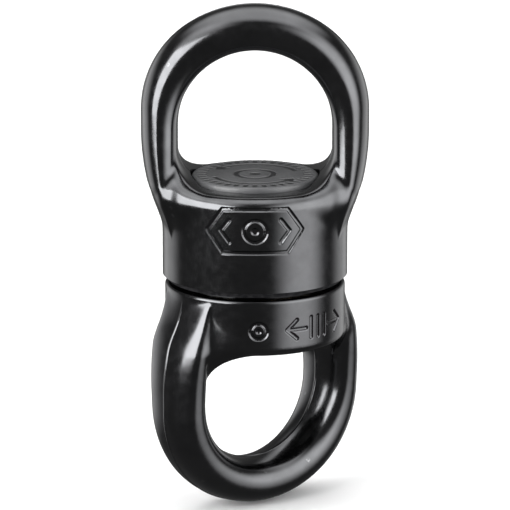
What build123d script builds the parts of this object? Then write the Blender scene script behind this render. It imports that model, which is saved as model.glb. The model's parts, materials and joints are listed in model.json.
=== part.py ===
from build123d import *
import math
import os

os.makedirs("parts", exist_ok=True)

# A ball-bearing swivel: two forged eyes that turn freely on one axis.
#
# The origin is the point of the upper eye that an anchor connector bears on.
# +Z runs up the swivel axis, +Y through the upper eye's window, +X across it.
# All sizes are in millimetres.

# ---- the eyes: outline of the ring, seen through its window ----
WINDOW_R = 13.1  # the window's round end, which carries the connector
WINDOW_SIDE = 3.7  # straight sides between the round end and the lower corners
CROWN_R = 20.8  # outside of the crown
CROWN_HALF_ANGLE = 30.0  # the crown arc's extent each side of the axis
HALF_WIDTH = 19.3  # outside of the limbs, at their widest
WIDEST_DROP = 0.7  # the limbs stay at full width this far below the ring centre
HALF_DEPTH = 6.2  # half of the ring's thickness along the window's axis
OUTER_ROUND = 3.1
INNER_ROUND = 2.9
LOWER_EYE_TURN = 37.0  # the lower eye at rest, turned about the swivel axis

# ---- upper eye: ring and bearing housing in one forging ----
UPPER_LIP = 9.5  # ring centre to the flat top of the housing
UPPER_CORNER = 5.8
HOUSING_R = 15.7
HOUSING_HEIGHT = 16.4
HOUSING_TOP_ROUND = 2.2
HOUSING_FOOT_ROUND = 0.6
UPPER_ROOT = 20.5  # ring centre to where the limbs die into the housing
UPPER_ROOT_HALF_WIDTH = 14.0

# ---- lower eye: ring and boss in one forging ----
LOWER_LIP = 8.3
LOWER_CORNER = 5.4
BOSS_R = 15.3
BOSS_HEIGHT = 10.0
BOSS_TOP_ROUND = 0.4
BOSS_FOOT_ROUND = 1.3
LOWER_ROOT = 17.6
LOWER_ROOT_HALF_WIDTH = 15.1

# ---- cover cap, a threaded plug shown as plain cylinders ----
CAP_R = 10.75
CAP_PROUD = 0.9
CAP_SUNK = 0.9
CAP_ROUND = 0.5
CAP_RECESS_R = 11.0
RECESS_REACH = 3.0  # the recess also trims the foot of each limb, this far up
PLUG_R = 10.26
PLUG_LENGTH = 1.8
PLUG_HOLLOW_R = 8.4
PLUG_HOLLOW_DEPTH = 1.0
CHAMBER_R = 10.3
SEAL_CORD_R = 0.385
SEAL_GROOVE_FLOOR_R = 9.5
SEAL_GROOVE_WIDTH = 1.0

# ---- spindle ----
HEAD_R = 9.8
HEAD_HEIGHT = 3.0
HEAD_GAP = 0.4  # under the plug
HEAD_CHAMFER = 0.4
SOCKET_FLATS = 8.0
SOCKET_DEPTH = 2.2
SHANK_R = 4.5
TAIL_R = 4.0  # the threaded end, shown at its full thread diameter
PILOT_DEPTH = 5.5  # the shank's plain length inside the boss
TAIL_PROUD = 0.3  # the domed end shows inside the lower window
TAIL_DOME = 0.7
FIT = 0.02  # radial clearance of pieces that don't move on each other
RUNNING_FIT = 0.04  # radial clearance of the shank in its bush

# ---- thrust bearing ----
BALL_R = 1.5875  # 1/8 inch balls
BALL_COUNT = 12
PITCH_R = 7.25
RACEWAY_R = 1.65
RACEWAY_DEPTH = 0.4
BEARING_HEIGHT = 5.6
SPINDLE_RACE_R = 9.9
HOUSING_RACE_BORE_R = 4.9
CAGE_THICKNESS = 1.4
CAGE_INNER_R = 5.1
CAGE_OUTER_R = 9.7
CAGE_POCKET_R = 1.7

# ---- guide bush, seals and washer ----
BUSH_OUTER_R = 6.0
BUSH_FLANGE_R = 7.0
BUSH_FLANGE_THICKNESS = 0.6
BUSH_SHORT = 0.1  # the bush ends just inside the housing's foot
RIM_GAP = 0.9  # between housing and boss
RIM_SEAL_INNER_R = 13.0
RIM_SEAL_OUTER_R = 14.8
RIM_SEAL_SUNK = 1.0
RIM_SEAL_PROUD = 0.6
WASHER_INNER_R = 4.6
WASHER_OUTER_R = 9.5
WASHER_THICKNESS = 0.6

# ---- lock pin, a key along the joint of shank and boss ----
LOCK_PIN_R = 1.0
LOCK_PIN_LENGTH = 5.0
LOCK_PIN_INSET = 0.1

# ---- heights on the swivel axis, from the top down ----
upper_centre_z = -WINDOW_R
housing_top_z = upper_centre_z - UPPER_LIP
housing_foot_z = housing_top_z - HOUSING_HEIGHT
cap_top_z = housing_top_z + CAP_PROUD
cap_seat_z = housing_top_z - CAP_SUNK
plug_foot_z = cap_seat_z - PLUG_LENGTH
head_top_z = plug_foot_z - HEAD_GAP
head_foot_z = head_top_z - HEAD_HEIGHT
shoulder_z = head_foot_z - BEARING_HEIGHT
ball_z = (head_foot_z + shoulder_z) / 2
boss_top_z = housing_foot_z - RIM_GAP
boss_foot_z = boss_top_z - BOSS_HEIGHT
pilot_z = boss_top_z - PILOT_DEPTH
tail_z = boss_foot_z - TAIL_PROUD
lower_centre_z = boss_foot_z - LOWER_LIP
race_thickness = BEARING_HEIGHT / 2 - RACEWAY_R + RACEWAY_DEPTH

turn = math.radians(LOWER_EYE_TURN)
upper_ring_plane = Plane(
    origin=(0, 0, upper_centre_z), x_dir=(1, 0, 0), z_dir=(0, -1, 0)
)
lower_ring_plane = Plane(
    origin=(0, 0, lower_centre_z),
    x_dir=(math.cos(turn), math.sin(turn), 0),
    z_dir=(-math.sin(turn), math.cos(turn), 0),
)


def ring_blank(plane, lip, corner, root, root_half_width):
    """A rounded ring in the plane, its crown towards the plane's +Y.

    lip is the distance from the ring centre to the window's flat end, and the
    limbs run on past it to the depth of root, where the barrel takes over.
    """
    shift = (CROWN_R - HALF_WIDTH) / (1 - math.sin(math.radians(CROWN_HALF_ANGLE)))
    shoulder_centre = (
        shift * math.sin(math.radians(CROWN_HALF_ANGLE)),
        shift * math.cos(math.radians(CROWN_HALF_ANGLE)),
    )
    with BuildPart() as blank:
        with BuildSketch(plane):
            with BuildLine():
                CenterArc((0, 0), CROWN_R, 90 - CROWN_HALF_ANGLE, CROWN_HALF_ANGLE)
                shoulder = CenterArc(shoulder_centre, CROWN_R - shift, 0, 90 - CROWN_HALF_ANGLE)
                side = Line(shoulder @ 0, (HALF_WIDTH, -WIDEST_DROP))
                flank = TangentArc(side @ 1, (root_half_width, -root), tangent=side % 1)
                Line(flank @ 1, (0, -root))
                mirror(about=Plane.YZ)
            make_face()
            with BuildSketch(mode=Mode.SUBTRACT) as window:
                with BuildLine():
                    ThreePointArc((-WINDOW_R, 0), (0, WINDOW_R), (WINDOW_R, 0))
                    Polyline((-WINDOW_R, 0), (-WINDOW_R, -lip), (WINDOW_R, -lip), (WINDOW_R, 0))
                make_face()
                fillet(window.vertices().group_by(Axis.Y)[0], corner)
        extrude(amount=HALF_DEPTH, both=True)
        flats = blank.faces().filter_by(plane)
        root_line = plane.location.position + plane.y_dir * -root
        outer_edges = [
            edge
            for flat in flats
            for edge in flat.outer_wire().edges()
            if abs((edge @ 0.5).Z - root_line.Z) > 0.01
        ]
        fillet(outer_edges, OUTER_ROUND)
        flats = blank.faces().filter_by(plane)
        window_edges = [edge for flat in flats for wire in flat.inner_wires() for edge in wire.edges()]
        fillet(window_edges, INNER_ROUND)
    return blank.part


def turned_profile(points):
    """A closed profile of (radius, height) points, to be revolved about the swivel axis."""
    with BuildSketch(Plane.XZ) as profile:
        with BuildLine():
            Polyline(*points, close=True)
        make_face()
    return profile.sketch


def raceway_profile():
    """The section of the ball track, a torus round the swivel axis."""
    with BuildSketch(Plane.XZ) as profile:
        with Locations((PITCH_R, ball_z)):
            Circle(RACEWAY_R)
    return profile.sketch


# ---- upper eye ----
upper_ring = ring_blank(
    upper_ring_plane, UPPER_LIP, UPPER_CORNER, UPPER_ROOT, UPPER_ROOT_HALF_WIDTH
)
with BuildPart() as upper_eye:
    with BuildSketch(Plane.XY.offset(housing_foot_z)):
        Circle(HOUSING_R)
    extrude(amount=HOUSING_HEIGHT)
    fillet(upper_eye.edges().group_by(Axis.Z)[-1], HOUSING_TOP_ROUND)
    fillet(upper_eye.edges().group_by(Axis.Z)[0], HOUSING_FOOT_ROUND)
    add(upper_ring)
    with BuildSketch(Plane.XY.offset(housing_top_z + RECESS_REACH)):
        Circle(CAP_RECESS_R)
    extrude(amount=-RECESS_REACH - CAP_SUNK, mode=Mode.SUBTRACT)
    with BuildSketch(Plane.XY.offset(cap_seat_z)):
        Circle(CHAMBER_R)
    extrude(amount=shoulder_z - cap_seat_z, mode=Mode.SUBTRACT)
    with BuildSketch(Plane.XY.offset(shoulder_z)):
        Circle(BUSH_FLANGE_R + FIT)
    extrude(amount=-BUSH_FLANGE_THICKNESS, mode=Mode.SUBTRACT)
    with BuildSketch(Plane.XY.offset(shoulder_z)):
        Circle(BUSH_OUTER_R + FIT)
    extrude(amount=housing_foot_z - shoulder_z, mode=Mode.SUBTRACT)
    with BuildSketch(Plane.XY.offset(housing_foot_z)):
        Circle(RIM_SEAL_OUTER_R)
        Circle(RIM_SEAL_INNER_R, mode=Mode.SUBTRACT)
    extrude(amount=RIM_SEAL_SUNK, mode=Mode.SUBTRACT)
upper_eye.part.label = "upper_eye"
export_step(upper_eye.part, "parts/upper_eye.step")

# ---- lower eye ----
lower_ring = ring_blank(
    lower_ring_plane, LOWER_LIP, LOWER_CORNER, LOWER_ROOT, LOWER_ROOT_HALF_WIDTH
)
with BuildPart() as lower_eye:
    with BuildSketch(Plane.XY.offset(boss_foot_z)):
        Circle(BOSS_R)
    extrude(amount=BOSS_HEIGHT)
    fillet(lower_eye.edges().group_by(Axis.Z)[-1], BOSS_TOP_ROUND)
    fillet(lower_eye.edges().group_by(Axis.Z)[0], BOSS_FOOT_ROUND)
    add(lower_ring)
    with BuildSketch(Plane.XY.offset(boss_top_z)):
        Circle(SHANK_R + FIT)
    extrude(amount=-PILOT_DEPTH, mode=Mode.SUBTRACT)
    with BuildSketch(Plane.XY.offset(pilot_z)):
        Circle(TAIL_R + FIT)
    extrude(amount=boss_foot_z - pilot_z, mode=Mode.SUBTRACT)
    with BuildSketch(Plane.XY.offset(boss_top_z)):
        with Locations((0, SHANK_R)):
            Circle(LOCK_PIN_R + FIT)
    extrude(amount=-LOCK_PIN_INSET - LOCK_PIN_LENGTH, mode=Mode.SUBTRACT)
lower_eye.part.label = "lower_eye"
export_step(lower_eye.part, "parts/lower_eye.step")

# ---- cover cap: a flanged plug with a seal groove, hollow underneath ----
seal_z = cap_seat_z - PLUG_LENGTH / 2
with BuildPart() as cover_cap:
    revolve(
        turned_profile(
            [
                (0, cap_top_z),
                (CAP_R, cap_top_z),
                (CAP_R, cap_seat_z),
                (PLUG_R, cap_seat_z),
                (PLUG_R, seal_z + SEAL_GROOVE_WIDTH / 2),
                (SEAL_GROOVE_FLOOR_R, seal_z + SEAL_GROOVE_WIDTH / 2),
                (SEAL_GROOVE_FLOOR_R, seal_z - SEAL_GROOVE_WIDTH / 2),
                (PLUG_R, seal_z - SEAL_GROOVE_WIDTH / 2),
                (PLUG_R, plug_foot_z),
                (PLUG_HOLLOW_R, plug_foot_z),
                (PLUG_HOLLOW_R, plug_foot_z + PLUG_HOLLOW_DEPTH),
                (0, plug_foot_z + PLUG_HOLLOW_DEPTH),
            ]
        ),
        axis=Axis.Z,
    )
    fillet(cover_cap.edges().group_by(Axis.Z)[-1], CAP_ROUND)
cover_cap.part.label = "cover_cap"
export_step(cover_cap.part, "parts/cover_cap.step")

# ---- cap seal: an O-ring in the plug's groove ----
with BuildPart() as cap_seal:
    with BuildSketch(Plane.XZ):
        with Locations((SEAL_GROOVE_FLOOR_R + SEAL_CORD_R, seal_z)):
            Circle(SEAL_CORD_R)
    revolve(axis=Axis.Z)
cap_seal.part.label = "cap_seal"
export_step(cap_seal.part, "parts/cap_seal.step")

# ---- spindle: head, plain shank, threaded tail with a domed end ----
with BuildPart() as spindle:
    with BuildSketch(Plane.XZ):
        with BuildLine():
            Polyline(
                (0, head_top_z),
                (HEAD_R, head_top_z),
                (HEAD_R, head_foot_z),
                (SHANK_R, head_foot_z),
                (SHANK_R, pilot_z),
                (TAIL_R, pilot_z),
                (TAIL_R, tail_z + TAIL_DOME),
            )
            TangentArc((0, tail_z), (TAIL_R, tail_z + TAIL_DOME), tangent=(1, 0))
            Line((0, tail_z), (0, head_top_z))
        make_face()
    revolve(axis=Axis.Z)
    head_rims = spindle.edges().filter_by(GeomType.CIRCLE)
    head_rims = head_rims.filter_by(lambda rim: abs(rim.radius - HEAD_R) < 0.01)
    chamfer(head_rims, HEAD_CHAMFER)
    with BuildSketch(Plane.XY.offset(head_top_z)):
        RegularPolygon(SOCKET_FLATS / 2, 6, major_radius=False)
    extrude(amount=-SOCKET_DEPTH, mode=Mode.SUBTRACT)
    with BuildSketch(Plane.XY.offset(boss_top_z)):
        with Locations((0, SHANK_R)):
            Circle(LOCK_PIN_R + FIT)
    extrude(amount=-LOCK_PIN_INSET - LOCK_PIN_LENGTH, mode=Mode.SUBTRACT)
spindle.part.label = "spindle"
export_step(spindle.part, "parts/spindle.step")

# ---- lock pin: keys the spindle to the boss, so that its thread can't turn ----
with BuildPart() as lock_pin:
    with BuildSketch(Plane.XY.offset(boss_top_z - LOCK_PIN_INSET)):
        with Locations((0, SHANK_R)):
            Circle(LOCK_PIN_R)
    extrude(amount=-LOCK_PIN_LENGTH)
    chamfer(lock_pin.edges(), LOCK_PIN_R / 5)
lock_pin.part.label = "lock_pin"
export_step(lock_pin.part, "parts/lock_pin.step")


# ---- spindle race: under the head, turns with the spindle ----
with BuildPart() as spindle_race:
    with BuildSketch(Plane.XY.offset(head_foot_z)):
        Circle(SPINDLE_RACE_R)
        Circle(SHANK_R + FIT, mode=Mode.SUBTRACT)
    extrude(amount=-race_thickness)
    revolve(raceway_profile(), axis=Axis.Z, mode=Mode.SUBTRACT)
spindle_race.part.label = "spindle_race"
export_step(spindle_race.part, "parts/spindle_race.step")

# ---- housing race: on the housing's shoulder ----
with BuildPart() as housing_race:
    with BuildSketch(Plane.XY.offset(shoulder_z)):
        Circle(CHAMBER_R - FIT)
        Circle(HOUSING_RACE_BORE_R, mode=Mode.SUBTRACT)
    extrude(amount=race_thickness)
    revolve(raceway_profile(), axis=Axis.Z, mode=Mode.SUBTRACT)
housing_race.part.label = "housing_race"
export_step(housing_race.part, "parts/housing_race.step")

# ---- ball cage: carries the balls round at half the swivel's speed ----
with BuildPart() as ball_cage:
    with BuildSketch(Plane.XY.offset(ball_z)):
        Circle(CAGE_OUTER_R)
        Circle(CAGE_INNER_R, mode=Mode.SUBTRACT)
        with PolarLocations(PITCH_R, BALL_COUNT):
            Circle(CAGE_POCKET_R, mode=Mode.SUBTRACT)
    extrude(amount=CAGE_THICKNESS / 2, both=True)
ball_cage.part.label = "ball_cage"
export_step(ball_cage.part, "parts/ball_cage.step")

# ---- balls ----
for index in range(BALL_COUNT):
    bearing_angle = 2 * math.pi * index / BALL_COUNT
    ball_centre = (PITCH_R * math.cos(bearing_angle), PITCH_R * math.sin(bearing_angle), ball_z)
    with BuildPart(Plane(origin=ball_centre)) as ball:
        Sphere(BALL_R)
    ball.part.label = f"ball_{index + 1:02d}"
    export_step(ball.part, f"parts/ball_{index + 1:02d}.step")

# ---- guide bush: flanged bronze bearing of the shank in the housing's foot ----
with BuildPart() as guide_bush:
    revolve(
        turned_profile(
            [
                (SHANK_R + RUNNING_FIT, shoulder_z),
                (BUSH_FLANGE_R, shoulder_z),
                (BUSH_FLANGE_R, shoulder_z - BUSH_FLANGE_THICKNESS),
                (BUSH_OUTER_R, shoulder_z - BUSH_FLANGE_THICKNESS),
                (BUSH_OUTER_R, housing_foot_z + BUSH_SHORT),
                (SHANK_R + RUNNING_FIT, housing_foot_z + BUSH_SHORT),
            ]
        ),
        axis=Axis.Z,
    )
guide_bush.part.label = "guide_bush"
export_step(guide_bush.part, "parts/guide_bush.step")

# ---- rim seal: keeps dirt out of the gap between housing and boss ----
with BuildPart() as rim_seal:
    with BuildSketch(Plane.XY.offset(housing_foot_z + RIM_SEAL_SUNK)):
        Circle(RIM_SEAL_OUTER_R)
        Circle(RIM_SEAL_INNER_R, mode=Mode.SUBTRACT)
    extrude(amount=-RIM_SEAL_SUNK - RIM_SEAL_PROUD)
rim_seal.part.label = "rim_seal"
export_step(rim_seal.part, "parts/rim_seal.step")

# ---- wear washer: lies on the boss round the shank ----
with BuildPart() as wear_washer:
    with BuildSketch(Plane.XY.offset(boss_top_z)):
        Circle(WASHER_OUTER_R)
        Circle(WASHER_INNER_R, mode=Mode.SUBTRACT)
    extrude(amount=WASHER_THICKNESS)
wear_washer.part.label = "wear_washer"
export_step(wear_washer.part, "parts/wear_washer.step")
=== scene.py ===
import json
import math

import bmesh
import bpy
import numpy as np
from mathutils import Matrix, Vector


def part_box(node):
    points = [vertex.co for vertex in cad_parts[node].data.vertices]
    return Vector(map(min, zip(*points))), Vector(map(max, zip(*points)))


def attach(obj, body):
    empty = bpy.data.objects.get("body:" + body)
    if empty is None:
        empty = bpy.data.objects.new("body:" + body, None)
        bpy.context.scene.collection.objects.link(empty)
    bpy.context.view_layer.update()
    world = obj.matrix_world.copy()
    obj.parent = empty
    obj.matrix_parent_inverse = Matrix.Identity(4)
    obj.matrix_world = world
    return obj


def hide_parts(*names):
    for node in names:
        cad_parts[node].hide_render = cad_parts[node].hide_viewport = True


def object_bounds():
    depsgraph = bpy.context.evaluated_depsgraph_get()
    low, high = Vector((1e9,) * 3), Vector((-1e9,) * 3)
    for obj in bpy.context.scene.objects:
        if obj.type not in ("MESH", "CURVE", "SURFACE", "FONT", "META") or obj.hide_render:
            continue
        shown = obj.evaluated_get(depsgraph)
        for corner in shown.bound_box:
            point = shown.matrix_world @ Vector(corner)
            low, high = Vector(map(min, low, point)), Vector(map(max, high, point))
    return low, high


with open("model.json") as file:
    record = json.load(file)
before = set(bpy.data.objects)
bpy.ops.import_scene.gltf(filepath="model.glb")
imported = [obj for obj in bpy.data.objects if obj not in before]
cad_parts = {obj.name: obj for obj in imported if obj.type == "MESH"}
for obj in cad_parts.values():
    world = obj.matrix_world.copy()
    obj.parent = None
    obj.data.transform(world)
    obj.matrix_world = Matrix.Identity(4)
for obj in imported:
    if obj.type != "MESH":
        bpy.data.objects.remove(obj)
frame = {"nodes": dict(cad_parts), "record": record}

# A ball-bearing swivel. The two eyes are forged first, as smooth solids given by
# distance formulas and meshed here, and then machined, with booleans, as the real
# ones are. Shapes are worked out in millimetres and stored in metres.
MM = 0.001
cad_low, cad_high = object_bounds()


def box_mm(node):
    """A CAD node's lowest and highest corners, in millimetres."""
    return [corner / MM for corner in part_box(node)]


mounts = {mount["name"]: mount for mount in frame["record"]["mounts"]}
upper_low, upper_high = box_mm("upper_eye")
lower_high = box_mm("lower_eye")[1]
cap_low, cap_high = box_mm("cover_cap")
anchor_z = mounts["anchor_eye"]["pos_m"][2] / MM
load_z = mounts["load_eye"]["pos_m"][2] / MM
lower_normal = mounts["load_eye"]["axis"]

# ---- sizes, in millimetres ----
FLASH_HEIGHT = 0.1  # the trimmed flash line left at the mid-plane
FLASH_WIDTH = 0.13
WINDOW_R = 13.1
HALF_WIDTH = upper_high.x - FLASH_HEIGHT
CROWN_R = upper_high.z - anchor_z + WINDOW_R - FLASH_HEIGHT
CROWN_HALF_ANGLE = math.radians(30)
WIDEST_DROP = 0.7  # how far below the ring's centre it is widest
THINNEST_LIMB = 0.5  # a limb's least half-width, where it runs on inside the barrel
OVAL_CHANGE = (-0.3, 0.9)  # where the section's power changes, from outer face to window
LIMB_END_ROUND = 0.8
SINK_SHORT = 1.0  # how far short of the root a limb has sunk fully
STOCK = 1.0  # left on a barrel's machined end until it is faced
STOCK_ROUND = 0.4

# How the barrel swells to meet the limbs, and how its corners with them are filled.
# Edges are bearings from the ring's own plane between which an effect fades.
SWELL_EDGE = (math.radians(8), math.radians(52))
SWELL_SOFTNESS = 0.5
SWELL_START = (-2, 4)  # past the lip
SWELL_ROOT_FADE = 5.5
FLANK_EDGE = (math.radians(14), math.radians(42))
FLANK_PUSH = 0.29  # how far a fill lifts two flush faces, as a share of its radius
WINDOW_FILL_REACH = (0.9, 4)  # past the window's radius, from the swivel axis
ROOT_FILL = 1.2
ROOT_FILL_FADE = 9

# Meshing.
GRID = 0.38
EYE_MARGIN = 1.5
FLASH_CUTS = (-0.26, -0.12, 0, 0.12, 0.26)
CUT_SNAP = 0.02
SLOPE_REACH = 0.02
LONGEST_STEP = 0.3
LEAST_SLOPE_SQUARED = 0.2
TURN_STEPS = 160


class Eye:
    """One forging's sizes, and the way from its own axes to the shared frame.

    Its own axes are u across the ring, n through the window and w from the ring
    centre to the crown. The lip is where the window ends, far is the barrel's other
    end, and the root is where the limbs end inside the barrel: all are depths below
    the ring's centre. By the root the limbs have sunk by the sink. The swelling is 1
    for a barrel that swells to meet the limbs, and 0 for one that doesn't.
    """

    def __init__(self, centre_z, across, normal, up, lip, barrel_r, far, near_round,
                 root, root_half_width, crown_half_depth, deepening,
                 window_blend, outer_blend, outer_power, inner_power, flank_blend,
                 sink, swelling):
        self.centre_z = centre_z
        self.axes = np.array([across, normal, (0, 0, up)], float)
        self.lip = lip
        self.barrel_r = barrel_r
        self.far = far
        self.near_round = near_round
        self.root = root
        drop = HALF_WIDTH - root_half_width
        run = root - WIDEST_DROP
        self.flank_r = (run * run + drop * drop) / (2 * drop)
        self.crown_half_depth = crown_half_depth
        self.deepening = deepening
        self.window_blend = window_blend
        self.outer_blend = outer_blend
        self.outer_power = outer_power
        self.inner_power = inner_power
        self.flank_blend = flank_blend
        self.sink = sink
        self.swelling = swelling

    def to_frame(self, points):
        return points @ self.axes + np.array([0, 0, self.centre_z])


lower_across = (-lower_normal[1], lower_normal[0], 0)
upper = Eye(
    centre_z=anchor_z - WINDOW_R, across=(1, 0, 0), normal=(0, 1, 0), up=1,
    lip=9.5, barrel_r=upper_high.y, far=anchor_z - WINDOW_R - upper_low.z + STOCK,
    near_round=2.2, root=20.5, root_half_width=14.0,
    crown_half_depth=5.3, deepening=0.003,
    window_blend=5.8, outer_blend=5.0,
    outer_power=2.0, inner_power=3.2, flank_blend=1.2, sink=2.6, swelling=1.0,
)
lower = Eye(
    centre_z=load_z + WINDOW_R, across=lower_across, normal=lower_normal, up=-1,
    lip=8.3, barrel_r=upper_high.y - 0.4, far=lower_high.z - load_z - WINDOW_R + STOCK,
    near_round=1.4, root=16.8, root_half_width=15.2,
    crown_half_depth=5.5, deepening=0.0016,
    window_blend=6.8, outer_blend=2.7,
    outer_power=2.4, inner_power=2.1, flank_blend=2.3, sink=1.1, swelling=0.0,
)


# ---- distance formulas: negative inside, and their joins ----
def round_max(a, b, radius):
    """What two solids share, with the edge between them rounded."""
    over_a = np.maximum(a + radius, 0)
    over_b = np.maximum(b + radius, 0)
    return np.minimum(np.maximum(a, b), -radius) + np.hypot(over_a, over_b)


def round_min(a, b, radius):
    """Two solids joined, with the corner between them filled."""
    return -round_max(-a, -b, radius)


def smooth_step(low, high, value):
    t = np.clip((value - low) / (high - low), 0, 1)
    return t * t * (3 - 2 * t)


def gradient(field, points):
    """The field's slope at each point, by central differences."""
    slopes = []
    for axis in range(3):
        shift = np.zeros(3)
        shift[axis] = SLOPE_REACH
        slopes.append((field(points + shift) - field(points - shift)) / (2 * SLOPE_REACH))
    return np.stack(slopes, 1)


def outline(eye, u, w):
    """Distance from the ring's outer outline: crown, shoulders, sides and flanks."""
    u = np.abs(u)
    sine, cosine = math.sin(CROWN_HALF_ANGLE), math.cos(CROWN_HALF_ANGLE)
    shift = (CROWN_R - HALF_WIDTH) / (1 - sine)
    crown = np.hypot(u, w) - CROWN_R
    shoulder = np.hypot(u - shift * sine, w - shift * cosine) - (CROWN_R - shift)
    side = u - HALF_WIDTH
    flank = np.hypot(u - HALF_WIDTH + eye.flank_r, w + WIDEST_DROP) - eye.flank_r
    below = np.where(w > -WIDEST_DROP, side, flank)
    below = np.where(w > shift * cosine, shoulder, below)
    return np.where(np.arctan2(u, w) < CROWN_HALF_ANGLE, crown, below)


def ring_field(eye, points):
    """The ring, with its flash line, and its limbs down to the root.

    Its section is an oval, with a power of 2 for an ellipse and more for a squarer one.
    It deepens from the crown to the lip and then narrows to the root.
    """
    u, n, w = points.T
    window = np.where(w > 0, np.hypot(u, w), np.abs(u)) - WINDOW_R
    edge = outline(eye, u, w)
    half_width = (window - edge) / 2 + FLASH_HEIGHT * np.exp(-((n / FLASH_WIDTH) ** 2))
    half_width = np.maximum(half_width, THINNEST_LIMB)
    half_depth = eye.crown_half_depth + eye.deepening * (CROWN_R - np.maximum(w, -eye.lip)) ** 2
    across = (edge + window) / 2 / half_width
    deep = np.abs(n) / half_depth
    inner = smooth_step(*OVAL_CHANGE, -across)
    power = eye.outer_power + (eye.inner_power - eye.outer_power) * inner
    across = np.maximum(np.abs(across), 1e-6)
    deep = np.maximum(deep, 1e-6)
    reach = (across ** power + deep ** power) ** (1 / power)
    slope = np.hypot(
        (across / reach) ** (power - 1) / half_width, (deep / reach) ** (power - 1) / half_depth
    )
    sink = eye.sink * smooth_step(eye.lip, eye.root - SINK_SHORT, -w)
    return round_max((reach - 1) / slope + sink, -w - eye.root, LIMB_END_ROUND)


def swell(eye, u, n, w):
    """How far the barrel stands out below the lip, to run into the limbs' flanks."""
    flank = HALF_WIDTH - (w + WIDEST_DROP) ** 2 / (2 * eye.flank_r)
    height = flank - FLANK_PUSH * eye.flank_blend - eye.barrel_r
    height = (height + np.hypot(height, SWELL_SOFTNESS)) / 2 - 0.1 * SWELL_SOFTNESS
    height *= 1 - smooth_step(*SWELL_EDGE, np.arctan2(np.abs(n), np.abs(u)))
    height *= smooth_step(eye.lip + SWELL_START[0], eye.lip + SWELL_START[1], -w)
    flash = FLASH_HEIGHT * np.exp(-((n / FLASH_WIDTH) ** 2)) * np.minimum(height, 1)
    return eye.swelling * (height + flash) * smooth_step(-eye.root, SWELL_ROOT_FADE - eye.root, w)


def barrel_field(eye, points):
    """The round housing or boss."""
    u, n, w = points.T
    side = np.hypot(u, n) - eye.barrel_r - swell(eye, u, n, w)
    barrel = round_max(side, w + eye.lip, eye.near_round)
    return round_max(barrel, -w - eye.far, STOCK_ROUND)


def forging(eye, points):
    """Ring and barrel in one, with the corner between them filled.

    The fill is largest in the window's corners, and least at the flanks, where ring
    and barrel run into each other.
    """
    u, n, w = np.abs(points[:, 0]), np.abs(points[:, 1]), points[:, 2]
    start, end = WINDOW_FILL_REACH
    outside = smooth_step(WINDOW_R + start, WINDOW_R + end, np.hypot(u, n))
    flank = outside * (1 - smooth_step(*FLANK_EDGE, np.arctan2(n, u)))
    radius = eye.window_blend + (eye.outer_blend - eye.window_blend) * outside
    radius = radius + (eye.flank_blend - radius) * flank
    radius = ROOT_FILL + (radius - ROOT_FILL) * smooth_step(-eye.root, ROOT_FILL_FADE - eye.root, w)
    return round_min(ring_field(eye, points), barrel_field(eye, points), radius)


# ---- meshing ----
def net_surface(field, low, high, step):
    """A closed net of quads round the solid, one point for each cell that it crosses."""
    counts = [math.ceil((b - a) / step) + 1 for a, b in zip(low, high)]
    axes = [a + step * np.arange(count) for a, count in zip(low, counts)]
    grid = np.stack(np.meshgrid(*axes, indexing="ij"), -1).reshape(-1, 3)
    inside = (field(grid) < 0).reshape(counts)
    corners = sum(
        inside[i:counts[0] - 1 + i, j:counts[1] - 1 + j, k:counts[2] - 1 + k].astype(int)
        for i in (0, 1) for j in (0, 1) for k in (0, 1)
    )
    mixed = (corners > 0) & (corners < 8)
    number = np.full(mixed.shape, -1)
    number[mixed] = np.arange(mixed.sum())
    points = np.array(low) + step * (np.argwhere(mixed) + 0.5)
    quads = []
    for axis in range(3):
        a, b = np.eye(3, dtype=int)[(axis + 1) % 3], np.eye(3, dtype=int)[(axis + 2) % 3]
        first = np.take(inside, np.arange(counts[axis] - 1), axis)
        second = np.take(inside, np.arange(1, counts[axis]), axis)
        base = np.argwhere(first != second)
        loop = [base, base - a, base - a - b, base - b]
        quad = np.stack([number[tuple(cell.T)] for cell in loop], 1)
        leaving = first[tuple(base.T)]
        quads.append(np.where(leaving[:, None], quad, quad[:, ::-1]))
    return points, np.concatenate(quads)


def drawn_on(field, points, rounds=3):
    """The points moved on to the surface along the field's slope."""
    for _ in range(rounds):
        slope = gradient(field, points)
        steps = field(points) / np.maximum((slope * slope).sum(1), LEAST_SLOPE_SQUARED)
        points = points - slope * np.clip(steps, -LONGEST_STEP, LONGEST_STEP)[:, None]
    return points


def evened(field, points, quads, rounds=6):
    """The net relaxed along the surface, so that its quads come out even."""
    edges = np.concatenate([quads[:, [i, (i + 1) % 4]] for i in range(4)])
    edges = np.unique(np.sort(edges, 1), axis=0)
    ends = np.concatenate([edges, edges[:, ::-1]])
    degree = np.bincount(ends[:, 0], minlength=len(points))
    for _ in range(rounds):
        mean = np.stack(
            [np.bincount(ends[:, 0], points[ends[:, 1], axis], len(points)) for axis in range(3)], 1
        ) / degree[:, None]
        points = drawn_on(field, (points + mean) / 2, rounds=1)
    return drawn_on(field, points)


def mesh_of(points, faces):
    bm = bmesh.new()
    verts = [bm.verts.new(point) for point in points]
    for face in faces:
        bm.faces.new([verts[i] for i in face])
    return bm


def refine(bm, wanted, field):
    """Divide the faces that are wanted, given their centres, and draw them on again."""
    bm.faces.ensure_lookup_table()
    centres = np.array([face.calc_center_median() for face in bm.faces])
    chosen = np.flatnonzero(wanted(centres))
    edges = {edge for i in chosen for edge in bm.faces[i].edges}
    bmesh.ops.subdivide_edges(bm, edges=list(edges), cuts=1, use_grid_fill=True)
    redraw(bm, field)


def redraw(bm, field, rounds=2):
    points = np.array([vert.co for vert in bm.verts])
    for vert, point in zip(bm.verts, drawn_on(field, points, rounds)):
        vert.co = point


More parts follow.
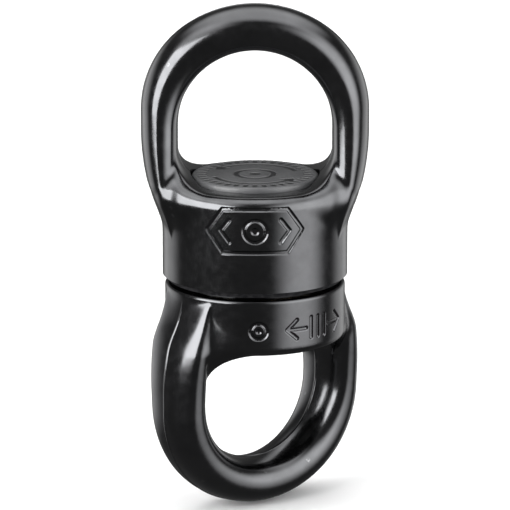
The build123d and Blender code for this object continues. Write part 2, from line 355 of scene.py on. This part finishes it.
def cut_lines(bm, axis, places):
    """Lines of points across the mesh where it crosses each plane."""
    normal = Vector((0, 0, 0))
    normal[axis] = 1
    for place in places:
        geometry = bm.verts[:] + bm.edges[:] + bm.faces[:]
        bmesh.ops.bisect_plane(bm, geom=geometry, dist=CUT_SNAP, plane_co=normal * place, plane_no=normal)


def new_piece(name, bm):
    mesh = bpy.data.meshes.new(name)
    bm.to_mesh(mesh)
    bm.free()
    piece = bpy.data.objects.new(name, mesh)
    bpy.context.scene.collection.objects.link(piece)
    return piece


def turned(name, profile):
    """A solid of revolution about the swivel axis, from (radius, height) points in mm."""
    bm = bmesh.new()
    rings = []
    for radius, height in profile:
        if radius == 0:
            rings.append([bm.verts.new((0, 0, height * MM))] * TURN_STEPS)
            continue
        angles = [2 * math.pi * i / TURN_STEPS for i in range(TURN_STEPS)]
        rings.append([
            bm.verts.new((radius * MM * math.cos(a), radius * MM * math.sin(a), height * MM))
            for a in angles
        ])
    for ring, following in zip(rings, rings[1:] + rings[:1]):
        if ring[0] is ring[1] and following[0] is following[1]:
            continue
        for i in range(TURN_STEPS):
            j = (i + 1) % TURN_STEPS
            corners = [ring[i], ring[j], following[j], following[i]]
            bm.faces.new(list(dict.fromkeys(corners)))
    bmesh.ops.recalc_face_normals(bm, faces=bm.faces[:])
    return new_piece(name, bm)


def machined(piece, cutter):
    """Take the cutter's shape out of the piece, and remove the cutter."""
    cut = piece.modifiers.new("machining", "BOOLEAN")
    cut.operation = "DIFFERENCE"
    cut.solver = "EXACT"
    cut.object = cutter
    done = bpy.data.meshes.new_from_object(piece.evaluated_get(bpy.context.evaluated_depsgraph_get()))
    piece.modifiers.clear()
    done.validate()
    piece.data = done
    bpy.data.objects.remove(cutter)


def shade(piece, sharp_degrees=32):
    """Smooth shading, broken at the machined edges."""
    bm = bmesh.new()
    bm.from_mesh(piece.data)
    for face in bm.faces:
        face.smooth = True
    for edge in bm.edges:
        edge.smooth = edge.calc_face_angle(0) < math.radians(sharp_degrees)
    bm.to_mesh(piece.data)
    bm.free()


# ---- marks: plain pictograms, engraved in the forgings and the cap ----
def stroke(s, t, start, end):
    """Distance from a straight line between two points."""
    run = np.subtract(end, start)
    along = ((s - start[0]) * run[0] + (t - start[1]) * run[1]) / max(run @ run, 1e-9)
    along = np.clip(along, 0, 1)
    return np.hypot(s - start[0] - along * run[0], t - start[1] - along * run[1])


def polyline(s, t, points):
    return np.min([stroke(s, t, a, b) for a, b in zip(points, points[1:])], axis=0)


def hoop(s, t, radius):
    return np.abs(np.hypot(s, t) - radius)


def dot(s, t, radius):
    """Distance from a disc in the middle, whose radius adds to the line's half-width."""
    return stroke(s, t, (0, 0), (0, 0)) - radius


def hoop_arc(s, t, radius, start, end):
    """Distance from an arc about the origin, between two bearings in degrees."""
    middle, half = math.radians(start + end) / 2, math.radians(end - start) / 2
    bearing = (np.arctan2(t, s) - middle + math.pi) % (2 * math.pi) - math.pi
    held = middle + np.clip(bearing, -half, half)
    return np.hypot(s - radius * np.cos(held), t - radius * np.sin(held))


def line_depth(distance, half_width, depth, soft=0.13):
    return depth * (1 - smooth_step(half_width - soft, half_width + soft, distance))


def mirrored(points):
    return [(-s, t) for s, t in points]


MARK_DEPTH = 0.24
MARK_HALF_WIDTH = 0.3
FACE_BAND = 1.2  # how far inside the barrel's face a mark still counts
EMBLEM_Z = -28.05
BOSS_MARK_Z = -45.4
BIG_MARK_BEARING = math.radians(44)
SMALL_MARK_BEARING = math.radians(2.3)


def emblem(s, t):
    """A six-sided frame round a ring and dot, with a chevron on each side."""
    half_frame = [(0, 3.7), (5.6, 3.7), (8.3, 0), (5.6, -3.7), (0, -3.7)]
    chevron = [(4.4, 1.9), (5.9, 0), (4.4, -1.9)]
    shapes = [
        polyline(s, t, half_frame),
        polyline(s, t, mirrored(half_frame)),
        polyline(s, t, chevron),
        polyline(s, t, mirrored(chevron)),
        hoop(s, t, 1.9),
        dot(s, t, 0.3),
    ]
    return line_depth(np.min(shapes, axis=0), MARK_HALF_WIDTH, MARK_DEPTH)


def turn_arrow(s, t):
    """A double arrow with three bars across it."""
    shaft = 6.2
    head = [(shaft - 1.8, 1.6), (shaft, 0), (shaft - 1.8, -1.6)]
    shapes = [
        stroke(s, t, (-shaft, 0), (-2.6, 0)),
        stroke(s, t, (2.6, 0), (shaft, 0)),
        polyline(s, t, head),
        polyline(s, t, mirrored(head)),
    ]
    shapes += [stroke(s, t, (at, -1.7), (at, 1.7)) for at in (-1.5, 0, 1.5)]
    return line_depth(np.min(shapes, axis=0), MARK_HALF_WIDTH, MARK_DEPTH)


def grade_ring(s, t):
    """A ring and dot."""
    shapes = [hoop(s, t, 1.35), dot(s, t, 0.1)]
    return line_depth(np.min(shapes, axis=0), MARK_HALF_WIDTH, MARK_DEPTH)


def on_barrel(eye, points, bearing, height):
    """Places along and up the barrel's face, in mm from a mark's middle.

    The bearing is about the swivel axis from the shared frame's -Y, towards +X.
    """
    x, y, z = eye.to_frame(points).T
    turn = (np.arctan2(x, -y) - bearing + math.pi) % (2 * math.pi) - math.pi
    return turn * eye.barrel_r, z - height


def on_face(eye, points):
    """True on the barrel's outside, where marks may lie."""
    return np.hypot(points[:, 0], points[:, 1]) > eye.barrel_r - FACE_BAND


def marked_upper(points):
    mark = emblem(*on_barrel(upper, points, 0, EMBLEM_Z))
    return forging(upper, points) + np.where(on_face(upper, points), mark, 0)


def marked_lower(points):
    arrow = turn_arrow(*on_barrel(lower, points, BIG_MARK_BEARING, BOSS_MARK_Z))
    ring = grade_ring(*on_barrel(lower, points, SMALL_MARK_BEARING, BOSS_MARK_Z))
    mark = np.maximum(arrow, ring)
    return forging(lower, points) + np.where(on_face(lower, points), mark, 0)


def near_mark(eye, centres, bearing, height, half_length, half_height):
    """True for the centres within a box on the barrel's face round a mark."""
    s, t = on_barrel(eye, centres, bearing, height)
    return on_face(eye, centres) & (np.abs(s) < half_length) & (np.abs(t) < half_height)


# ---- the eyes ----
def forged_piece(name, eye, field, marked_field, near_marks):
    """One eye, meshed finely near its marks and along the flash line."""
    reach = max(HALF_WIDTH, eye.barrel_r) + EYE_MARGIN
    low = (-reach - GRID / 2, -reach - GRID / 2, -eye.far - EYE_MARGIN)
    high = (reach, reach, CROWN_R + EYE_MARGIN)
    points, quads = net_surface(field, low, high, GRID)
    bm = mesh_of(evened(field, points, quads), quads)
    refine(bm, near_marks, field)
    refine(bm, near_marks, marked_field)
    cut_lines(bm, 1, FLASH_CUTS)
    redraw(bm, marked_field)
    for vert in bm.verts:
        vert.co = Vector(eye.to_frame(np.array(vert.co))) * MM
    return new_piece(name, bm)


upper_forging = forged_piece(
    "upper_forging", upper, lambda p: forging(upper, p), marked_upper,
    lambda c: near_mark(upper, c, 0, EMBLEM_Z, 9.2, 4.6),
)
lower_forging = forged_piece(
    "lower_forging", lower, lambda p: forging(lower, p), marked_lower,
    lambda c: near_mark(lower, c, BIG_MARK_BEARING, BOSS_MARK_Z, 7.2, 2.6)
    | near_mark(lower, c, SMALL_MARK_BEARING, BOSS_MARK_Z, 2.4, 2.4),
)

# ---- machining ----
OVERRUN = 1.0
SIDE_OVERRUN = 2.0
RECESS_R = 11.0
RECESS_REACH = 3.0
CHAMBER_R = 10.3
BUSH_R = 6.02
BUSH_FLANGE_R = 7.02
BUSH_FLANGE_THICKNESS = 0.6
GROOVE_INNER_R = 13.0
GROOVE_OUTER_R = 14.8
SHANK_R = 4.52
TAIL_R = 4.02
PILOT_DEPTH = 5.5
seal_high = box_mm("rim_seal")[1]
spindle_low = box_mm("spindle")[0]
lip_z = upper.centre_z - upper.lip
foot_z = upper_low.z
recess_floor_z = lip_z - (cap_high.z - lip_z)
shoulder_z = box_mm("guide_bush")[1].z
RELIEF = 0.25  # how far the foot and the rim stand back outside the seal
RELIEF_R = 12.9
RIM_ROUND = 0.6
foot_side = upper.barrel_r + SIDE_OVERRUN
foot_cutter = turned("foot_cutter", [
    (0, foot_z), (RELIEF_R, foot_z), (RELIEF_R, foot_z + RELIEF), (foot_side, foot_z + RELIEF),
    (foot_side, foot_z - 2 * STOCK), (0, foot_z - 2 * STOCK),
])
machined(upper_forging, foot_cutter)
rim_z = lower_high.z - RELIEF
rim_side = lower.barrel_r + SIDE_OVERRUN
round_r, round_z = lower.barrel_r - RIM_ROUND, rim_z - RIM_ROUND
rim_turns = [math.radians(turn) for turn in range(90, -1, -10)]
rim = [(round_r + RIM_ROUND * math.cos(turn), round_z + RIM_ROUND * math.sin(turn)) for turn in rim_turns]
rim_cutter = turned("rim_cutter", [
    (0, lower_high.z), (RELIEF_R, lower_high.z), (RELIEF_R, rim_z), *rim,
    (rim_side, round_z), (rim_side, lower_high.z + 2 * STOCK), (0, lower_high.z + 2 * STOCK),
])
machined(lower_forging, rim_cutter)
chamber_cutter = turned("chamber_cutter", [
    (0, lip_z + RECESS_REACH), (RECESS_R, lip_z + RECESS_REACH), (RECESS_R, recess_floor_z),
    (CHAMBER_R, recess_floor_z), (CHAMBER_R, shoulder_z), (BUSH_FLANGE_R, shoulder_z),
    (BUSH_FLANGE_R, shoulder_z - BUSH_FLANGE_THICKNESS), (BUSH_R, shoulder_z - BUSH_FLANGE_THICKNESS),
    (BUSH_R, foot_z - OVERRUN), (0, foot_z - OVERRUN),
])
machined(upper_forging, chamber_cutter)
groove_cutter = turned("groove_cutter", [
    (GROOVE_INNER_R, foot_z - OVERRUN), (GROOVE_OUTER_R, foot_z - OVERRUN),
    (GROOVE_OUTER_R, seal_high.z), (GROOVE_INNER_R, seal_high.z),
])
machined(upper_forging, groove_cutter)
bore_cutter = turned("bore_cutter", [
    (0, lower_high.z + OVERRUN), (SHANK_R, lower_high.z + OVERRUN), (SHANK_R, lower_high.z - PILOT_DEPTH),
    (TAIL_R, lower_high.z - PILOT_DEPTH), (TAIL_R, spindle_low.z - OVERRUN), (0, spindle_low.z - OVERRUN),
])
machined(lower_forging, bore_cutter)
for piece, body, node in ((upper_forging, "anchor", "upper_eye"), (lower_forging, "load", "lower_eye")):
    shade(piece)
    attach(piece, body)
    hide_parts(node)


# ---- cover cap: a flange with engraved marks on a plain plug ----
CAP_R = cap_high.x
CAP_ROUND = 0.5
CAP_FOOT_ROUND = 0.15
CAP_MARK_DEPTH = 0.1
CAP_MARK_HALF_WIDTH = 0.42
CAP_MARK_LIMIT_R = 9.9  # the marks lie inside this radius
CAP_GRID = 0.4
TICKS = 36
ARROW_R = 7.2
PLUG_R = 10.26
PLUG_GROOVE_R = 9.5
PLUG_BORE_R = 8.4
FLANGE_FOOT_Z = recess_floor_z


def cap_marks(points):
    """Ticks round the rim, two turning arrows, and a ring and dot."""
    s, t = points[:, 0], points[:, 1]
    bearing = np.arctan2(t, s)
    tick = 2 * math.pi / TICKS
    nearest = np.round(bearing / tick) * tick
    ticks = stroke(s * np.cos(nearest) + t * np.sin(nearest), t * np.cos(nearest) - s * np.sin(nearest),
                   (8.6, 0), (9.5, 0))
    shapes = [ticks, hoop_arc(s, t, ARROW_R, 20, 150), hoop_arc(s, t, ARROW_R, 200, 330)]
    for end, back in ((150, 138), (330, 318)):
        tip = (ARROW_R * math.cos(math.radians(end)), ARROW_R * math.sin(math.radians(end)))
        for radius in (6.2, 8.1):
            tail = (radius * math.cos(math.radians(back)), radius * math.sin(math.radians(back)))
            shapes.append(stroke(s, t, tip, tail))
    shapes.append(hoop(s, t, 3.2))
    shapes.append(dot(s, t, 0.5))
    return line_depth(np.min(shapes, axis=0), CAP_MARK_HALF_WIDTH, CAP_MARK_DEPTH, soft=0.08)


def plain_cap_field(points):
    x, y, z = points.T
    flange = round_max(np.hypot(x, y) - CAP_R, z - cap_high.z, CAP_ROUND)
    return round_max(flange, FLANGE_FOOT_Z - z, CAP_FOOT_ROUND)


def cap_field(points):
    engraved = np.where(points[:, 2] > cap_high.z - 0.6, cap_marks(points), 0)
    return plain_cap_field(points) + engraved


cap_reach = CAP_R + 1
points, quads = net_surface(
    plain_cap_field, (-cap_reach, -cap_reach, FLANGE_FOOT_Z - 1),
    (cap_reach, cap_reach, cap_high.z + 1), CAP_GRID,
)
bm = mesh_of(evened(plain_cap_field, points, quads, rounds=3), quads)
for field in (plain_cap_field, cap_field):
    refine(bm, lambda c: (c[:, 2] > cap_high.z - 0.2), field)
for vert in bm.verts:
    vert.co *= MM
cap_piece = new_piece("cap_disc", bm)
shade(cap_piece, 60)
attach(cap_piece, "anchor")
plug = turned("cap_plug", [
    (0, FLANGE_FOOT_Z - 0.01), (PLUG_R, FLANGE_FOOT_Z - 0.01),
    (PLUG_R, cap_low.z + 1.4), (PLUG_GROOVE_R, cap_low.z + 1.4),
    (PLUG_GROOVE_R, cap_low.z + 0.4), (PLUG_R, cap_low.z + 0.4), (PLUG_R, cap_low.z),
    (PLUG_BORE_R, cap_low.z), (PLUG_BORE_R, cap_low.z + 1.0), (0, cap_low.z + 1.0),
])
shade(plug)
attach(plug, "anchor")
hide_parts("cover_cap")
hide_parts("cover_cap")


# ---- materials ----
class Finish:
    """A Principled material whose colour, roughness and bump come from noise."""

    def __init__(self, name, **constants):
        self.material = bpy.data.materials.new(name)
        self.material.use_nodes = True
        self.tree = self.material.node_tree
        self.shader = self.tree.nodes["Principled BSDF"]
        for socket, value in constants.items():
            self.shader.inputs[socket.replace("_", " ")].default_value = value
        self.place = self.node("ShaderNodeTexCoord").outputs["Object"]

    def node(self, kind, **settings):
        node = self.tree.nodes.new(kind)
        for name, value in settings.items():
            if name in node.inputs:
                node.inputs[name].default_value = value
            else:
                setattr(node, name, value)
        return node

    def link(self, output, socket):
        self.tree.links.new(output, socket)

    def noise(self, size_mm, detail=3.0, roughness=0.5):
        """Noise whose features are about this many millimetres across."""
        noise = self.node("ShaderNodeTexNoise", Scale=1 / (size_mm * MM), Detail=detail, Roughness=roughness)
        self.link(self.place, noise.inputs["Vector"])
        return noise.outputs["Fac"]

    def ramp(self, value, low, high, start, end):
        """A level, or a colour, that goes from start to end as the value goes from low to high."""
        ramp = self.node("ShaderNodeMapRange", interpolation_type="SMOOTHSTEP")
        ramp.inputs["From Min"].default_value = low
        ramp.inputs["From Max"].default_value = high
        self.link(value, ramp.inputs["Value"])
        if isinstance(start, tuple):
            return self.mix(ramp.outputs["Result"], start, end)
        ramp.inputs["To Min"].default_value = start
        ramp.inputs["To Max"].default_value = end
        return ramp.outputs["Result"]

    def mix(self, share, start, end):
        """Two colours mixed; each is three numbers or another node's output."""
        mix = self.node("ShaderNodeMix", data_type="RGBA")
        self.link(share, mix.inputs[0])
        for socket, colour in zip([socket for socket in mix.inputs if socket.type == "RGBA"], (start, end)):
            if isinstance(colour, tuple):
                socket.default_value = (*colour, 1)
            else:
                self.link(colour, socket)
        return [output for output in mix.outputs if output.type == "RGBA"][0]

    def times(self, first, second):
        product = self.node("ShaderNodeMath", operation="MULTIPLY")
        self.link(first, product.inputs[0])
        self.link(second, product.inputs[1])
        return product.outputs[0]

    def rings(self, pitch_mm):
        """Turning marks: fine rings round the swivel axis."""
        wave = self.node("ShaderNodeTexWave", wave_type="RINGS", rings_direction="Z", Distortion=1.5)
        wave.inputs["Scale"].default_value = 1 / (pitch_mm * MM) / 20
        self.link(self.place, wave.inputs["Vector"])
        return wave.outputs["Fac"]

    def bump(self, *layers):
        """Relief from (height, depth in mm) layers."""
        normal = None
        for height, depth in layers:
            bump = self.node("ShaderNodeBump", Distance=depth * MM)
            self.link(height, bump.inputs["Height"])
            if normal:
                self.link(normal, bump.inputs["Normal"])
            normal = bump.outputs["Normal"]
        self.link(normal, self.shader.inputs["Normal"])


def worn(finish, plain, edge):
    """A surface colour, a pair of shades in soft clouds, that wears to another on sharp edges."""
    cloud = finish.ramp(finish.noise(7.0), 0.35, 0.65, *plain)
    shape = finish.node("ShaderNodeNewGeometry").outputs["Pointiness"]
    rub = finish.ramp(finish.noise(0.9, 4), 0.4, 0.62, 0.0, 1.0)
    return finish.mix(finish.times(finish.ramp(shape, 0.56, 0.63, 0.0, 1.0), rub), cloud, edge)


def black_anodised():
    finish = Finish("black_anodised", Metallic=1.0)
    colour = worn(finish, ((0.088, 0.089, 0.092), (0.106, 0.107, 0.111)), (0.17, 0.17, 0.175))
    finish.link(colour, finish.shader.inputs["Base Color"])
    finish.link(finish.ramp(finish.noise(1.3, 4), 0.3, 0.7, 0.15, 0.21), finish.shader.inputs["Roughness"])
    finish.bump((finish.noise(2.4, 2), 0.006), (finish.noise(0.3, 2), 0.0016))
    return finish.material


def cap_anodised():
    """Matte grey, and near black in the bottom of the engraved lines: partly residue, partly painted shade
    where shade falls in the grooves.

    A place is in a line if it lies a little below the top and inside the marks' limit.
    """
    finish = Finish("cap_anodised", Metallic=0.0, Specular_IOR_Level=0.5)
    face = worn(finish, ((0.072, 0.073, 0.076), (0.096, 0.097, 0.1)), (0.16, 0.16, 0.165))
    height = finish.node("ShaderNodeSeparateXYZ")
    finish.link(finish.place, height.inputs[0])
    below = (cap_high.z - CAP_MARK_DEPTH) * MM
    # Painted shade: the bottoms of the engraved lines are coloured near black, standing partly for residue
    # and partly for the shade that falls in them.
    groove_residue_and_shade = finish.ramp(height.outputs["Z"], below + 0.02 * MM, below + 0.08 * MM, 1.0, 0.0)
    top_only = finish.ramp(height.outputs["Z"], below - 0.2 * MM, below - 0.1 * MM, 0.0, 1.0)
    flat = finish.node("ShaderNodeVectorMath", operation="MULTIPLY")
    finish.link(finish.place, flat.inputs[0])
    flat.inputs[1].default_value = (1, 1, 0)
    from_axis = finish.node("ShaderNodeVectorMath", operation="LENGTH")
    finish.link(flat.outputs["Vector"], from_axis.inputs[0])
    limit = CAP_MARK_LIMIT_R * MM
    inside = finish.ramp(from_axis.outputs["Value"], limit, limit + 0.1 * MM, 1.0, 0.0)
    groove_residue_and_shade = finish.times(finish.times(groove_residue_and_shade, top_only), inside)
    # The near-black groove colour is partly residue and partly painted shade.
    finish.link(finish.mix(groove_residue_and_shade, face, (0.006, 0.006, 0.007)),
                finish.shader.inputs["Base Color"])
    finish.link(finish.ramp(finish.noise(0.8, 4), 0.3, 0.7, 0.28, 0.38), finish.shader.inputs["Roughness"])
    finish.bump((finish.noise(0.25, 3), 0.006))
    return finish.material


def spindle_steel():
    """Ground and plated: fine rings round the axis, over slow clouds."""
    finish = Finish("spindle_steel", Metallic=1.0)
    colour = worn(finish, ((0.46, 0.46, 0.45), (0.56, 0.56, 0.55)), (0.7, 0.7, 0.69))
    finish.link(colour, finish.shader.inputs["Base Color"])
    finish.link(finish.ramp(finish.noise(0.8, 4), 0.3, 0.7, 0.24, 0.36), finish.shader.inputs["Roughness"])
    finish.bump((finish.rings(0.12), 0.002), (finish.noise(0.5, 3), 0.002))
    return finish.material


def bearing_steel():
    finish = Finish("bearing_steel", Metallic=1.0)
    colour = worn(finish, ((0.68, 0.68, 0.69), (0.75, 0.75, 0.76)), (0.82, 0.82, 0.83))
    finish.link(colour, finish.shader.inputs["Base Color"])
    finish.link(finish.ramp(finish.noise(0.7, 3), 0.3, 0.7, 0.08, 0.15), finish.shader.inputs["Roughness"])
    finish.bump((finish.noise(0.4, 2), 0.0006))
    return finish.material


def bronze():
    finish = Finish("bronze", Metallic=1.0)
    colour = worn(finish, ((0.5, 0.31, 0.13), (0.6, 0.4, 0.19)), (0.72, 0.52, 0.28))
    finish.link(colour, finish.shader.inputs["Base Color"])
    finish.link(finish.ramp(finish.noise(0.7, 4), 0.3, 0.7, 0.28, 0.42), finish.shader.inputs["Roughness"])
    finish.bump((finish.rings(0.16), 0.003), (finish.noise(0.4, 3), 0.002))
    return finish.material


def cage_plastic():
    finish = Finish("cage_plastic", Specular_IOR_Level=0.45)
    colour = worn(finish, ((0.56, 0.5, 0.37), (0.66, 0.6, 0.46)), (0.74, 0.69, 0.56))
    finish.link(colour, finish.shader.inputs["Base Color"])
    finish.link(finish.ramp(finish.noise(0.5, 3), 0.3, 0.7, 0.42, 0.58), finish.shader.inputs["Roughness"])
    finish.bump((finish.noise(0.2, 3), 0.004))
    return finish.material


def seal_rubber():
    finish = Finish("seal_rubber", Specular_IOR_Level=0.06)
    colour = worn(finish, ((0.005, 0.005, 0.006), (0.01, 0.01, 0.011)), (0.015, 0.015, 0.016))
    finish.link(colour, finish.shader.inputs["Base Color"])
    finish.link(finish.ramp(finish.noise(0.4, 3), 0.3, 0.7, 0.55, 0.75), finish.shader.inputs["Roughness"])
    finish.bump((finish.noise(0.15, 3), 0.002))
    return finish.material


def painted(piece, material):
    piece.data.materials.clear()
    piece.data.materials.append(material)


anodised, cap_finish = black_anodised(), cap_anodised()
for piece in (upper_forging, lower_forging):
    painted(piece, anodised)
for piece in (cap_piece, plug):
    painted(piece, cap_finish)

balls = [name for name in frame["nodes"] if name.startswith("ball_") and name != "ball_cage"]
for material, nodes in (
    (spindle_steel(), ("spindle", "lock_pin")),
    (bearing_steel(), ("spindle_race", "housing_race", *balls)),
    (bronze(), ("guide_bush", "wear_washer")),
    (cage_plastic(), ("ball_cage",)),
    (seal_rubber(), ("cap_seal", "rim_seal")),
):
    for node in nodes:
        for slot in bpy.data.objects[node].material_slots:
            slot.material = material


# ---- floor, light and camera ----
FLOOR_R = 6.0
FLOOR_GAP = 0.0002


def floor_piece():
    """A pale floor under the object, which its black metal doesn't mirror."""
    bm = bmesh.new()
    bmesh.ops.create_circle(bm, cap_ends=True, segments=128, radius=FLOOR_R)
    bmesh.ops.translate(bm, verts=bm.verts[:], vec=(0, 0, cad_low.z - FLOOR_GAP))
    piece = new_piece("floor", bm)
    finish = Finish("floor", Roughness=0.6)
    finish.link(finish.ramp(finish.noise(400.0), 0.3, 0.7, (0.92, 0.92, 0.92), (0.95, 0.95, 0.95)),
                finish.shader.inputs["Base Color"])
    piece.data.materials.append(finish.material)
    piece.visible_glossy = False
    piece.visible_shadow = False


LIGHT_DISTANCE = 2.0
OBJECT_MIDDLE = Vector((0, 0, (cad_low.z + cad_high.z) / 2))


def softbox(name, bearing, height, wide, tall, strength, feather):
    """A panel of light, with feathered edges, that faces the object.

    It stands at a bearing from the camera, to the right, and a height above the
    level, and takes up so much of the view from the object: all in degrees. The
    strength is how bright it looks from the object.
    """
    light = bpy.data.lights.new(name, "AREA")
    light.shape = "RECTANGLE"
    light.size = 2 * LIGHT_DISTANCE * math.tan(math.radians(wide / 2))
    light.size_y = 2 * LIGHT_DISTANCE * math.tan(math.radians(tall / 2))
    light.energy = strength * math.pi * light.size * light.size_y
    light.use_nodes = True
    tree = light.node_tree
    across = tree.nodes.new("ShaderNodeSeparateXYZ")
    tree.links.new(tree.nodes.new("ShaderNodeNewGeometry").outputs["Parametric"], across.inputs[0])
    product = tree.nodes.new("ShaderNodeMath")
    product.operation = "MULTIPLY"
    for place, socket in zip(across.outputs[:2], product.inputs):
        off = tree.nodes.new("ShaderNodeMath")
        off.operation = "SUBTRACT"
        off.inputs[1].default_value = 0.5
        tree.links.new(place, off.inputs[0])
        size = tree.nodes.new("ShaderNodeMath")
        size.operation = "ABSOLUTE"
        tree.links.new(off.outputs[0], size.inputs[0])
        fade = tree.nodes.new("ShaderNodeMapRange")
        fade.interpolation_type = "SMOOTHSTEP"
        for setting, value in (("From Min", 0.5), ("From Max", 0.5 - feather / 2)):
            fade.inputs[setting].default_value = value
        tree.links.new(size.outputs[0], fade.inputs["Value"])
        tree.links.new(fade.outputs["Result"], socket)
    tree.links.new(product.outputs[0], tree.nodes["Emission"].inputs["Strength"])
    lamp = bpy.data.objects.new(name, light)
    turn, rise = math.radians(bearing), math.radians(height)
    towards = Vector((math.sin(turn) * math.cos(rise), -math.cos(turn) * math.cos(rise), math.sin(rise)))
    lamp.location = OBJECT_MIDDLE + LIGHT_DISTANCE * towards
    lamp.rotation_euler = towards.to_track_quat("Z", "Y").to_euler()
    lamp.visible_camera = False
    bpy.context.scene.collection.objects.link(lamp)


floor_piece()
softbox("key_softbox", -56, 19, 50, 44, 7.0, 0.1)
softbox("key_halo", -62, 50, 70, 40, 1.8, 0.8)
softbox("right_reflector", 60, 15, 88, 98, 3.4, 0.85)
softbox("top_softbox", 180, 78, 96, 90, 2.2, 0.7)
softbox("back_left_panel", -135, -5, 60, 50, 1.1, 0.8)
softbox("back_right_panel", 138, -8, 60, 60, 0.9, 0.8)

# The camera sees a white surround, and the metal mirrors a dark one.
world = bpy.data.worlds.new("studio")
bpy.context.scene.world = world
world.use_nodes = True
sky = world.node_tree
unseen = sky.nodes["Background"]
unseen.inputs["Color"].default_value = (0.1, 0.1, 0.1, 1)
seen = sky.nodes.new("ShaderNodeBackground")
seen.inputs["Color"].default_value = (1, 1, 1, 1)
path = sky.nodes.new("ShaderNodeLightPath")
either = sky.nodes.new("ShaderNodeMixShader")
sky.links.new(path.outputs["Is Camera Ray"], either.inputs["Fac"])
sky.links.new(unseen.outputs[0], either.inputs[1])
sky.links.new(seen.outputs[0], either.inputs[2])
sky.links.new(either.outputs[0], sky.nodes["World Output"].inputs["Surface"])
bpy.context.scene.view_settings.view_transform = "Standard"

CAMERA_DISTANCE = 0.9
CAMERA_ELEVATION = math.radians(14.0)
FRAME_WIDTH = 0.0867
AIM = Vector((0.0, 0.0, -0.0359))
camera_data = bpy.data.cameras.new("camera")
camera_data.angle = 2 * math.atan(FRAME_WIDTH / 2 / CAMERA_DISTANCE)
camera = bpy.data.objects.new("camera", camera_data)
towards_camera = Vector((0, -math.cos(CAMERA_ELEVATION), math.sin(CAMERA_ELEVATION)))
camera.location = AIM + CAMERA_DISTANCE * towards_camera
camera.rotation_euler = (AIM - camera.location).to_track_quat("-Z", "Y").to_euler()
bpy.context.scene.collection.objects.link(camera)
bpy.context.scene.camera = camera
